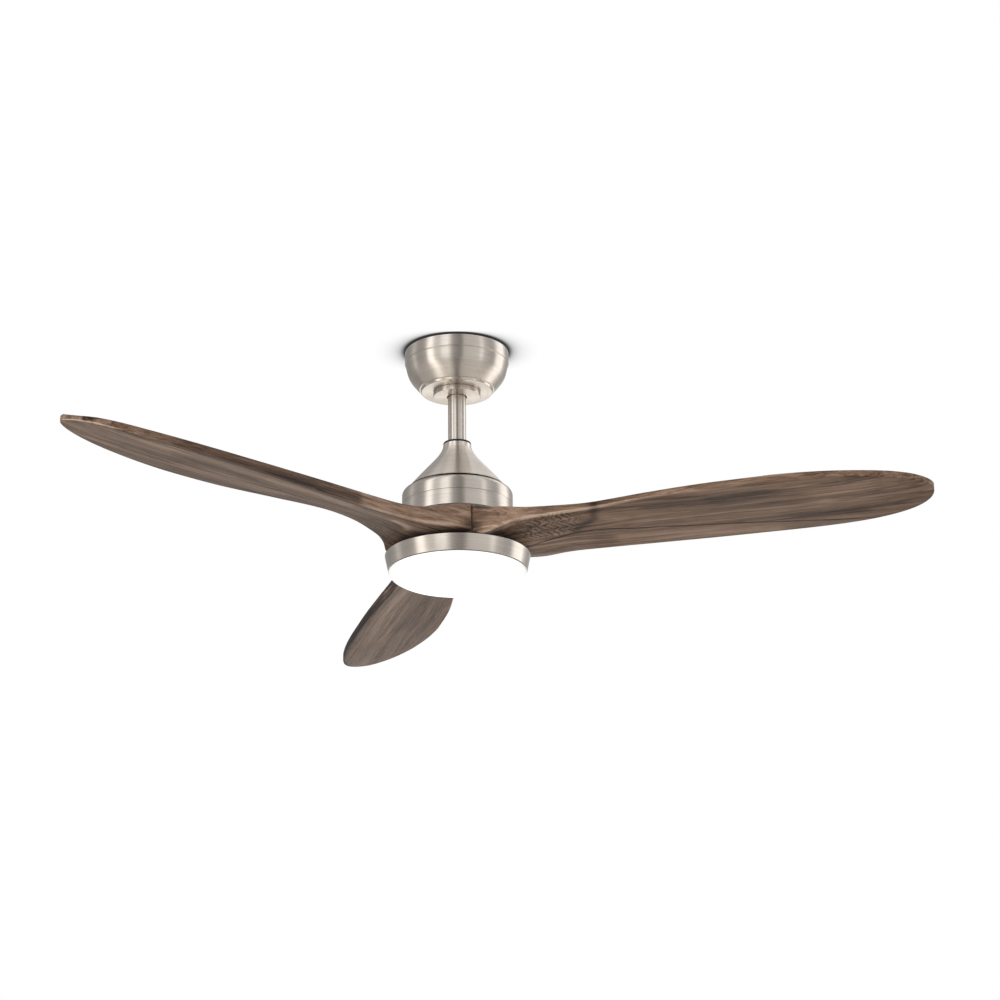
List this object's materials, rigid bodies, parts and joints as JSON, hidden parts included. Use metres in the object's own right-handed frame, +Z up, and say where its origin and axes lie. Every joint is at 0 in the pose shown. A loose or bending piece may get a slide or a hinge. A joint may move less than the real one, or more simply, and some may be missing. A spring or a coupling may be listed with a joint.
{
  "type": "ceiling fan with light",
  "caption": "Ceiling fan with carved wooden blades on a drum motor housing, ball-hung rod and canopy, with a round light kit below the hub.",
  "frame": {"origin": "centre of the ceiling face of the hanger bracket, on the rod axis", "axes": "+Z up into the ceiling, the fan hangs along -Z; the first blade points between +X and -Y"},
  "size_m": [1.1197, 1.1056, 0.3515],
  "materials": {
    "brushed_nickel": "brushed around the axis, satin",
    "walnut": "oiled dark walnut, satin",
    "black_rubber": "matte",
    "zinc_plate": "zinc plated",
    "plain_steel": "machined",
    "black_nylon": "matte",
    "white_plastic": "matte",
    "green_board": "solder mask",
    "green_screw": "painted",
    "magnet": "sintered, dark",
    "lamination": "stacked sheet steel",
    "copper_winding": "enamelled copper wire",
    "white_enamel": "gloss white enamel",
    "driver_case": "matte",
    "led_board": "white solder mask",
    "opal_diffuser": "opal, lit from inside"
  },
  "bodies": {
    "ceiling_mount": {"hanger_bracket": "zinc_plate", "canopy_gasket": "black_rubber", "canopy": "brushed_nickel", "canopy_cover_disc": "brushed_nickel", "canopy_screw_1": "plain_steel", "canopy_screw_2": "plain_steel", "receiver_module": "white_plastic", "terminal_block": "white_plastic", "ground_screw": "green_screw"},
    "ball": {"hanger_ball": "black_nylon"},
    "hanging_frame": {"downrod": "brushed_nickel", "hanger_pin": "plain_steel", "neck_ring": "black_rubber", "coupling_cover": "brushed_nickel", "motor_yoke": "zinc_plate", "clevis_pin": "plain_steel", "clevis_clip": "plain_steel", "set_screw_1": "plain_steel", "set_screw_2": "plain_steel", "housing_upper": "brushed_nickel", "housing_lower": "brushed_nickel", "housing_screw_1": "plain_steel", "housing_screw_2": "plain_steel", "housing_screw_3": "plain_steel", "motor_shaft": "plain_steel", "stator_core": "lamination", "stator_winding_upper": "copper_winding", "stator_winding_lower": "copper_winding", "motor_control_board": "green_board", "light_pan": "white_enamel", "shaft_nut": "plain_steel", "light_ring": "brushed_nickel", "ring_screw_1": "plain_steel", "ring_screw_2": "plain_steel", "ring_screw_3": "plain_steel", "led_driver": "driver_case", "led_board": "led_board", "led_standoff_1": "plain_steel", "led_standoff_2": "plain_steel", "led_standoff_3": "plain_steel"},
    "rotor": {"upper_bearing": "plain_steel", "lower_bearing": "plain_steel", "rotor_cap_top": "plain_steel", "rotor_ring": "plain_steel", "rotor_magnets": "magnet", "rotor_cap_bottom": "plain_steel", "blade_1": "walnut", "blade_2": "walnut", "blade_3": "walnut", "blade_clamp_plate": "zinc_plate", "blade_screw_1": "plain_steel", "blade_screw_2": "plain_steel", "blade_screw_3": "plain_steel", "blade_screw_4": "plain_steel", "blade_screw_5": "plain_steel", "blade_screw_6": "plain_steel"},
    "diffuser_cover": {"diffuser": "opal_diffuser"}
  },
  "joints": [
    {"name": "ball_tilt", "type": "hinge", "parent": "ceiling_mount", "child": "ball", "pos_m": [0, 0, -0.034], "axis": [0, 1, 0], "range_deg": [-1.5, 1.5]},
    {"name": "rod_tilt", "type": "hinge", "parent": "ball", "child": "hanging_frame", "pos_m": [0, 0, -0.034], "axis": [1, 0, 0], "range_deg": [-1.5, 1.5]},
    {"name": "rotor_spin", "type": "hinge", "parent": "hanging_frame", "child": "rotor", "pos_m": [0, 0, -0.24], "axis": [0, 0, 1], "continuous": true},
    {"name": "diffuser_twist", "type": "hinge", "parent": "hanging_frame", "child": "diffuser_cover", "pos_m": [0, 0, -0.325], "axis": [0, 0, 1], "range_deg": [0, 15]}
  ]
}
